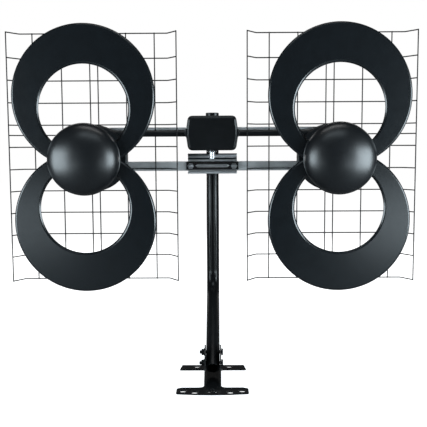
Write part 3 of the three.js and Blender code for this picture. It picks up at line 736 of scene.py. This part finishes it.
def feed(side):
    """The pipe that carries the lead from the hub to the housing."""
    node = f"feed_tube_{side}"
    low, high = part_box(node)
    radius = (high.z - low.z) / 2
    bore = radius - 1.3 * MM
    line = rounded([(bore, low.x), (radius, low.x), (radius, high.x), (bore, high.x)], 0.4 * MM, 2)
    shape = Shape()
    spin(shape, line + line[:1], shifted(facing_x, (0, middle(node, 1), middle(node, 2))), 48)
    piece(f"{node}_pipe", shape, "head", LOOK["plastic"], [node])


# ------------------------------ housing
HOUSING_WALL = 2.4 * MM
# The front rim of the housing, in mm, as how far it stands back from its outline and how deep it lies.
HOUSING_RIM = [(4.6, 0), (4.3, 0.08), (4, 0.24), (2.5, 1.1), (2, 1.35), (1.2, 1.7), (0.5, 2.3), (0.1, 3.2)]
BOSS_R = 8 * MM


def housing_outline(node):
    """The housing's outline without its side bosses: a rounded box that widens to the middle."""
    low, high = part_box(node)
    x = (high.x - low.x) / 2 - 2.5 * MM
    z = (high.z - low.z) / 2
    narrow = x - 3.4 * MM
    waist = 6 * MM
    points = [(narrow, -z), (x, -waist), (x, waist), (narrow, z), (-narrow, z), (-x, waist), (-x, -waist),
              (-narrow, -z)]
    return rounded(points, 9 * MM, 6)


def bosses(shape, node, y0, y1, place):
    """The pair of half-round bosses that the feed tubes enter."""
    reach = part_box(node)[1].x
    flat = 0.62  # how much of a half circle's depth a boss has
    root = reach - 14 * MM
    nose = arc((0, 0), BOSS_R, -90, 90, 12)
    for sign in (-1, 1):
        outline = [(sign * (reach - BOSS_R * flat + u * flat), v) for u, v in nose]
        outline += [(sign * root, BOSS_R * 0.8), (sign * root, -BOSS_R * 0.8)]
        slab(shape, [outline], y0, y1, 1.2 * MM, place, 4)


def housing():
    """Two hollow shells. The front has a rounded rim, and the rear a pad that lies against the upper boom."""
    front, rear = "housing_front", "housing_rear"
    outline = housing_outline(front)
    place = shifted(facing_y, (0, 0, middle(front, 2)))
    wall = HOUSING_WALL
    chamfer = 0.4 * MM  # where the two shells meet

    low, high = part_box(front)
    skin = [(inset * MM, low.y + depth * MM) for inset, depth in HOUSING_RIM]
    skin += [(0, high.y - chamfer), (chamfer, high.y), (wall, high.y), (wall, low.y + 2 * wall),
             (2 * wall, low.y + wall)]
    shape = Shape()
    loft(shape, [outline], skin, place)
    bosses(shape, front, low.y + 1.2 * MM, high.y, place)
    piece("housing_front_shell", shape, "head", LOOK["plastic"], [front])

    low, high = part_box(rear)
    back = high.y - 1.7 * MM
    steps = 6
    skin = [(2 * wall, back - wall), (wall, back - 2 * wall), (wall, low.y), (chamfer, low.y),
            (0, low.y + chamfer)]
    skin += soft_edges(low.y, back, 2.4 * MM, steps)[-steps - 1:]
    shape = Shape()
    loft(shape, [outline], skin, place)
    bosses(shape, rear, low.y, back - 1.5 * MM, place)
    boom_low, boom_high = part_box("upper_boom")
    pad = rounded(rectangle(-38 * MM, 38 * MM, boom_low.z, boom_high.z), 2 * MM)
    slab(shape, [pad], back - 0.5 * MM, high.y, 0.5 * MM, facing_y, 2)
    piece("housing_rear_shell", shape, "head", LOOK["plastic"], [rear])


def coax():
    """The threaded socket and its hexagonal nut."""
    node = "coax_connector"
    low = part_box(node)[0].z
    nut_low, nut_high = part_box("connector_nut")
    place = shifted(facing_z, (middle(node, 0), middle(node, 1), 0))
    top = nut_high.z + 2 * MM
    barrel, hole = 4.75 * MM, 2.3 * MM
    bottom = low + 5 * MM  # of the hole
    pitch = 0.8 * MM
    start = low + 0.6 * MM
    steps = int((top - low) / pitch * 5)
    wall = [(barrel, start + (top - start) * i / steps) for i in range(steps + 1)]
    profile = [(0, bottom), (hole, bottom), (hole, low + 0.3 * MM), (hole + 0.3 * MM, low),
               (barrel - 0.7 * MM, low)] + wall + [(0, top)]
    shape = Shape()
    spin(shape, profile, place, 48, None, (start, top - 0.1 * MM, pitch, 0.07 * MM))
    snug = hole - 0.1 * MM
    insulator = [(0, low + 1.4 * MM), (0.9 * MM, low + 1.4 * MM), (snug, low + 1.8 * MM),
                 (snug, low + 4.9 * MM), (0, low + 4.9 * MM)]
    spin(shape, insulator, place, 32)
    piece("coax_socket", shape, "head", LOOK["chrome"], [node])

    shape = Shape()
    hex_nut(shape, sizes("connector_nut").y * 0.99, 5 * MM, nut_low.z, nut_high.z, place)
    piece("coax_nut", shape, "head", LOOK["chrome"], ["connector_nut"])


# ------------------------------ clamp
CLAMP_SHEET = 2.5 * MM


def clamp_plate():
    """The plate, coloured dark as painted shade, and the rib with pointed ends that is pressed out of it,
    coloured near white as a painted highlight.
    """
    low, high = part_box("clamp_plate")
    half_z = (high.z - low.z) / 2
    face = high.y - 2.3 * MM
    place = shifted(facing_y, (0, 0, middle("clamp_plate", 2)))
    shape = Shape()
    slab(shape, [rounded(rectangle(low.x, high.x, -half_z, half_z), 1.8 * MM)], face, high.y, 0.5 * MM, place)
    piece("clamp_plate_pressed", shape, "head", LOOK["plate"], ["clamp_plate"])

    tip_x, tip_z = 29.4 * MM, 0.8 * MM
    side_x, side_z = 25.5 * MM, 2.8 * MM
    below = [(-tip_x, -tip_z), (-side_x, -side_z), (side_x, -side_z), (tip_x, -tip_z)]
    rib = rounded(below + [(u, -v) for u, v in reversed(below)], 1 * MM, 3)
    ridge = [(3 * MM, low.y), (2.8 * MM, low.y + 0.05 * MM), (0.3 * MM, low.y + 1.5 * MM),
             (0, face + 0.3 * MM)]
    shape = Shape()
    loft(shape, [rib], ridge, place)
    piece("clamp_plate_rib", shape, "head", LOOK["rib"])


def clamp_channel():
    """Bright sheet bent to a channel, with a bead along the middle of its web."""
    low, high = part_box("clamp_channel")
    half = CLAMP_SHEET / 2
    web = high.y - half
    bead = 351.5 * MM  # its height above the floor
    line = [(low.y, low.z + half), (web, low.z + half), (web, bead - 3.6 * MM),
            (web - 2.3 * MM, bead - 0.4 * MM), (web, bead + 4 * MM), (web, high.z - half),
            (low.y, high.z - half)]
    line = rounded(line, [r * MM for r in (0, 2.4, 3, 3, 3, 2.4, 0)], 8, False)
    shape = Shape()
    slab(shape, [thickened(line, CLAMP_SHEET)], low.x, high.x, 0.3 * MM, facing_x, 2)
    piece("clamp_channel_bent", shape, "head", LOOK["channel"], ["clamp_channel"])


def saddles():
    """The grooved block in front of the mast and the strap behind it."""
    low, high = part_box("front_saddle")
    mast_y = middle("mast_cap", 1)
    groove = arc((0, mast_y), sizes("mast_cap").x / 2, 215, 325, 16)
    outline = [(low.x, low.y), (high.x, low.y), (high.x, high.y), *reversed(groove), (low.x, high.y)]
    shape = Shape()
    slab(shape, [outline], low.z, high.z, 0.5 * MM, facing_z, 2)
    piece("front_saddle_block", shape, "head", LOOK["chrome"], ["front_saddle"])

    low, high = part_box("rear_saddle")
    flat = low.y + CLAMP_SHEET / 2
    reach = MAST_R + SLIDING_GAP + CLAMP_SHEET / 2
    crown = arc((0, mast_y), reach, 20, 160, 18)
    line = [(high.x, flat), (reach + 5 * MM, flat), *crown, (-reach - 5 * MM, flat), (low.x, flat)]
    shape = Shape()
    slab(shape, [thickened(line, CLAMP_SHEET)], low.z, high.z, 0.4 * MM, facing_z, 2)
    piece("rear_saddle_strap", shape, "head", LOOK["chrome"], ["rear_saddle"])


def clamp_fasteners(side):
    """The long bolt behind the strap, its washer, and its nut in front of the plate."""
    bolt, nut = f"clamp_bolt_{side}", f"clamp_nut_{side}"
    low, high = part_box(bolt)
    thick = 3.4 * MM
    seat = high.y - thick
    place = shifted(facing_y, (middle(bolt, 0), seat, middle(bolt, 2)))
    shape = Shape()
    hex_bolt(shape, thick, seat - low.y, place)
    washer(shape, 6.3 * MM, -0.8 * MM, 0, place)
    piece(f"{bolt}_hex", shape, "head", LOOK["zinc"], [bolt])
    low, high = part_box(nut)
    place = shifted(facing_y, (middle(bolt, 0), 0, middle(bolt, 2)))
    shape = Shape()
    hex_nut(shape, NUT_FLATS, NUT_BORE, low.y, high.y, place)
    piece(f"{nut}_hex", shape, "head", LOOK["zinc"], [nut])


# ------------------------------ mast
SLOPE = math.radians(32.5)  # of the lower stretch
MAST_BEND_R = 55 * MM
MAST_BORE = 9.5 * MM
CORNER_Z = 118.7 * MM  # where the two stretches' axes meet


def mast():
    """The bent tube."""
    mast_y = middle("mast_cap", 1)
    pivot = Vector((0, middle("pivot_nut", 1), middle("pivot_nut", 2)))
    down = Vector((0, -math.cos(SLOPE), -math.sin(SLOPE)))
    corner = Vector((0, mast_y, CORNER_Z))
    bend = math.pi / 2 - SLOPE
    tangent = MAST_BEND_R * math.tan(bend / 2)
    centre = corner + Vector((0, -MAST_BEND_R, tangent))
    steps = 18
    path = [pivot + down * 11 * MM, corner + down * tangent * 1.02]
    for i in range(steps + 1):
        angle = -bend * (1 - i / steps)
        path.append(centre + Vector((0, MAST_BEND_R * math.cos(angle), MAST_BEND_R * math.sin(angle))))
    path.append(Vector((0, mast_y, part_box("mast_tube")[1].z)))
    shape = Shape()
    tube_along(shape, path, MAST_R, MAST_BORE, 72, 0.4 * MM)
    piece("mast_tube_bent", shape, "mast", LOOK["mast"], ["mast_tube"])


def mast_cap():
    """The plug in the tube's top end, with a brim that covers the tube's wall."""
    low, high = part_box("mast_cap")
    rim = (high.x - low.x) / 2
    plug = MAST_BORE - 0.4 * MM
    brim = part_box("mast_tube")[1].z + 0.3 * MM
    line = [(0, low.z), (plug, low.z), (plug, brim), (rim, brim), (rim, high.z - 0.6 * MM),
            (rim - 1.2 * MM, high.z - 0.1 * MM), (0, high.z)]
    line = rounded(line, [r * MM for r in (0, 0.6, 0.2, 0.4, 1, 1.5, 0)], 4, False)
    shape = Shape()
    spin(shape, line, shifted(facing_z, (0, middle("mast_cap", 1), 0)), 64)
    piece("mast_cap_plug", shape, "mast", LOOK["plastic"], ["mast_cap"])


# ------------------------------ foot
FOOT_SHEET = 2.5 * MM
EAR_OUT, EAR_IN = 13.4 * MM, 11.4 * MM
SLOT_HALF = 3.3 * MM
SWING = 25.6  # degrees that the slot runs each way from rest
# Slots for the fixing screws and round holes with their radii, in mm.
FOOT_SLOTS = [(-45, -57), (45, -57), (-27, -62.8), (27, -62.8), (-27, 61.3), (27, 61.3)]
FOOT_HOLES = [(0, -51, 2.6), (-5, -60, 3.3), (5, -60, 3.3)]


def obround(x, y, long, wide):
    """A slot-shaped hole along X."""
    half = (long - wide) / 2
    return arc((x + half, y), wide / 2, -90, 90, 8) + arc((x - half, y), wide / 2, 90, 270, 8)


def foot_plate(shape):
    """The flat sheet: a wide bar in front, a neck between the ears and a narrower bar behind."""
    low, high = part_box("foot_bracket")
    half = high.x
    near_front, near_back = -65.8 * MM, -40.9 * MM
    far_front = 47.3 * MM
    right = [(half * 0.45, low.y + 0.9 * MM), (half, near_front), (half, near_back - 5 * MM),
             (half - 7 * MM, near_back), (EAR_OUT, near_back), (EAR_OUT, far_front), (half, far_front),
             (half - 3 * MM, high.y)]
    radii = [30, 3, 2.5, 3, 9, 5, 1.5, 1.5]
    outline = [(0, low.y), *right, *[(-x, y) for x, y in reversed(right)]]
    outline = rounded(outline, [r * MM for r in [30, *radii, *reversed(radii)]], 6)
    holes = [obround(x * MM, y * MM, 10.4 * MM, 9 * MM) for x, y in FOOT_SLOTS]
    holes += [arc((x * MM, y * MM), r * MM, 0, 330, 11) for x, y, r in FOOT_HOLES]
    slab(shape, [outline, *holes], 0, FOOT_SHEET, 0.8 * MM, facing_z, 4)


def foot_ears(shape):
    """The two upright ears, with the pivot hole and the curved slot of the locking bolt."""
    centre = (middle("pivot_nut", 1), middle("pivot_nut", 2))
    reach = math.dist(centre, (middle("lock_nut", 1), middle("lock_nut", 2)))
    rest = math.degrees(SLOPE)

    def end(at, start):
        """The round end of the slot, a half turn about a point on its middle line."""
        turn = math.radians(at)
        point = (centre[0] + reach * math.cos(turn), centre[1] + reach * math.sin(turn))
        return arc(point, SLOT_HALF, start, start + 180, 8)[1:]

    front = [(-34 * MM, 0.5 * MM), (-24 * MM, 6 * MM), (-4 * MM, 13 * MM), (8 * MM, 34 * MM)]
    ear = rounded(front, [0, 6 * MM, 14 * MM, 0], 6, False) + arc(centre, reach + 6.3 * MM, 66, -8, 24)
    ear += [(52 * MM, 6 * MM), (58 * MM, 0.5 * MM)]
    first, last = rest - SWING, rest + SWING
    slot = arc(centre, reach + SLOT_HALF, first, last, 20) + end(last, last)
    slot += arc(centre, reach - SLOT_HALF, last, first, 20)[1:] + end(first, first + 180)[:-1]
    pin = arc(centre, SLOT_HALF, 0, 345, 23)
    for sign in (-1, 1):
        ends = sorted((sign * EAR_IN, sign * EAR_OUT))
        slab(shape, [ear, slot, pin], *ends, 0.5 * MM, facing_x, 3)


def foot():
    """The stamped bracket."""
    shape = Shape()
    foot_plate(shape)
    foot_ears(shape)
    piece("foot_bracket_stamped", shape, "foot", LOOK["mast"], ["foot_bracket"])


def foot_fasteners(name, body):
    """The pivot bolt or the locking bolt, and its nut with a washer."""
    bolt, nut = f"{name}_bolt", f"{name}_nut"
    low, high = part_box(bolt)
    y, z = middle(bolt, 1), middle(bolt, 2)
    thick = 3 * MM
    shape = Shape()
    hex_bolt(shape, thick, high.x - thick - low.x, shifted(facing_x, (high.x - thick, y, z)))
    piece(f"{bolt}_hex", shape, body, LOOK["mast"], [bolt])
    low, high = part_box(nut)
    place = shifted(facing_x, (0, y, z))
    face = high.x - 1 * MM
    shape = Shape()
    hex_nut(shape, NUT_FLATS, NUT_BORE, low.x, face, place)
    washer(shape, 6.2 * MM, face, high.x, place)
    piece(f"{nut}_hex", shape, body, LOOK["mast"], [nut])


# ------------------------------ screws and the pieces that stay
def screw(node, radius, height, sign):
    """A pan-head screw with a thread. Its head is at the back, or at the front if the sign is -1."""
    low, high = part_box(node)
    seat = high.y - height if sign > 0 else low.y + height
    length = seat - low.y if sign > 0 else high.y - seat
    place = shifted(facing_y, (middle(node, 0), seat, middle(node, 2)))
    shape = Shape()
    pan_head(shape, radius, height, place, -sign)
    pitch = 0.9 * MM
    steps = int(length / pitch * 4)
    shank = [(radius * 0.5, -sign * length * i / steps) for i in range(steps)]
    start, end = sorted((-sign * length * 0.3, -sign * length * 0.98))
    profile = [(0, 0), *shank, (0, -sign * length)]
    spin(shape, profile, place, 16, None, (start, end, pitch, 0.35 * MM))
    piece(f"{node}_pan", shape, "head", LOOK["zinc"], [node])


def screws(side):
    screw(f"housing_screw_{side}", 3 * MM, 1.8 * MM, 1)
    screw(f"boom_screw_{side}", 4 * MM, 2.2 * MM, 1)
    for where in ("upper", "lower"):
        screw(f"hub_bolt_{where}_{side}", 4.5 * MM, 2.8 * MM, -1)


def keep_cad(node, look):
    """A CAD piece whose shape is right keeps its mesh, with a better material and softened edges."""
    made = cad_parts[node]
    for slot in made.material_slots:
        slot.material = look
    bevel = made.modifiers.new("soft_edges", "BEVEL")
    bevel.width = 0.35 * MM
    bevel.segments = 2
    bevel.limit_method = "ANGLE"
    bevel.angle_limit = math.radians(50)
    even = made.modifiers.new("even_shading", "WEIGHTED_NORMAL")
    even.keep_sharp = True


# ------------------------------ stage
def camera():
    """In front, between the panels, a little below the top, and looking slightly down."""
    data = bpy.data.cameras.new("camera")
    data.lens = 60.11
    data.sensor_width = 36
    data.clip_end = 60
    made = bpy.data.objects.new("camera", data)
    bpy.context.scene.collection.objects.link(made)
    pitch, yaw, roll = math.radians(5.67), math.radians(0.40), math.radians(0.30)
    turn = Matrix.Rotation(yaw, 3, "Z") @ Matrix.Rotation(-pitch, 3, "X") @ Matrix.Rotation(roll, 3, "Y")
    right, forward, up = (turn @ Vector(axis) for axis in ((1, 0, 0), (0, 1, 0), (0, 0, 1)))
    distance = 1.2361  # to the back of the reflectors
    aside, above = 10.2 * MM, 25.2 * MM  # of the middle of the four loops
    place = (aside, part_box("mesh_screen_left")[1].y - distance, middle("hub_plate_left", 2) + above)
    facing = Matrix((right, up, -forward)).transposed().to_4x4()
    made.matrix_world = Matrix.Translation(place) @ facing
    bpy.context.scene.camera = made


def area_light(name, place, target, size, power, colour=(1, 1, 1)):
    data = bpy.data.lights.new(name, "AREA")
    data.shape = "RECTANGLE"
    data.size, data.size_y = size
    data.energy = power
    data.color = colour
    made = bpy.data.objects.new(name, data)
    made.location = place
    made.rotation_euler = (Vector(target) - Vector(place)).to_track_quat("-Z", "Y").to_euler()
    made.visible_camera = False
    bpy.context.scene.collection.objects.link(made)


def floor_paper():
    """White paper that takes shadows near the foot and glows into the white surround further off. It is
    dim for everything that it lights or is mirrored in."""
    nodes = Nodes("floor_paper")
    new = nodes.tree.nodes.new
    nodes.set(
        Base_Color=(0.85, 0.85, 0.85),
        Roughness=nodes.between(nodes.noise(30), 0.85, 0.95),
        Specular_IOR_Level=0.1,
    )
    reach = new("ShaderNodeVectorMath")
    reach.operation = "LENGTH"
    nodes.link(nodes.place, reach.inputs[0])
    glow = new("ShaderNodeEmission")
    nodes.link(nodes.between(reach.outputs["Value"], 0.8, 1, 0.05, 0.7), glow.inputs["Strength"])
    spread = new("ShaderNodeAddShader")
    nodes.link(nodes.surface.outputs["BSDF"], spread.inputs[0])
    nodes.link(glow.outputs["Emission"], spread.inputs[1])
    dim = new("ShaderNodeBsdfDiffuse")
    dim.inputs["Color"].default_value = (0.2, 0.2, 0.2, 1)
    rays = new("ShaderNodeLightPath")
    choice = new("ShaderNodeMixShader")
    nodes.link(rays.outputs["Is Camera Ray"], choice.inputs["Fac"])
    nodes.link(dim.outputs["BSDF"], choice.inputs[1])
    nodes.link(spread.outputs["Shader"], choice.inputs[2])
    nodes.link(choice.outputs["Shader"], nodes.tree.nodes["Material Output"].inputs["Surface"])
    return nodes.material


def surround():
    """White behind the object, and dim for everything that it lights or is mirrored in."""
    world = bpy.data.worlds.new("surround")
    bpy.context.scene.world = world
    world.use_nodes = True
    tree = world.node_tree
    background = tree.nodes["Background"]
    background.inputs["Color"].default_value = (1, 1, 1, 1)
    rays = tree.nodes.new("ShaderNodeLightPath")
    mix = tree.nodes.new("ShaderNodeMix")
    mix.inputs[2].default_value = 0.05
    mix.inputs[3].default_value = 1.0
    tree.links.new(rays.outputs["Is Camera Ray"], mix.inputs["Factor"])
    tree.links.new(mix.outputs[0], background.inputs["Strength"])


def studio():
    """A pale floor and large soft lights: beside, low in front, behind and above."""
    mesh = bpy.data.meshes.new("floor")
    below = -0.4 * MM
    rim = [(u, v, below) for u, v in arc((0, 0), 6, 0, 357, 119)]
    mesh.from_pydata(rim, [], [tuple(range(len(rim)))])
    mesh.materials.append(floor_paper())
    floor = bpy.data.objects.new("floor", mesh)
    bpy.context.scene.collection.objects.link(floor)
    surround()
    aim = (0, 0.1, 0.3)
    cool = (0.8, 0.93, 1)
    for side, sign in SIDES.items():
        panel, gleam = (17, 0.85) if side == "left" else (22, 1.4)
        area_light(f"side_{side}", (sign * 1, -0.5, 0.33), (sign * 0.1, 0.05, 0.35), (0.8, 0.62), panel, cool)
        area_light(f"low_{side}", (sign * 0.72, -1.15, 0.12), (sign * 0.3, 0, 0.2), (0.5, 0.2), gleam, cool)
        area_light(f"back_{side}", (sign * 0.7, 1.5, 0.6), aim, (0.9, 0.9), 4)
    area_light("top_front", (0, -0.65, 1.3), aim, (0.9, 0.3), 2, cool)
    area_light("overhead", (0, 0.05, 1.5), aim, (0.9, 0.2), 2.5)
    bpy.context.scene.view_settings.view_transform = "Standard"


# ------------------------------ the whole
camera()
studio()
for side, sign in SIDES.items():
    loops(side)
    dome(side)
    cup(side)
    standoff(side)
    hub(side)
    reflector(side, -sign)
    feed(side)
    screws(side)
    clamp_fasteners(side)
    keep_cad(f"boom_bracket_{side}", LOOK["zinc"])
    keep_cad(f"balun_board_{side}", LOOK["board"])
    for where in ("upper", "lower"):
        for edge in ("outer", "inner"):
            keep_cad(f"loop_screw_{where}_{edge}_{side}", LOOK["zinc"])
boom("upper_boom")
boom("lower_boom")
housing()
keep_cad("combiner_board", LOOK["board"])
coax()
clamp_plate()
clamp_channel()
saddles()
mast()
mast_cap()
foot()
foot_fasteners("pivot", "foot")
foot_fasteners("lock", "mast")
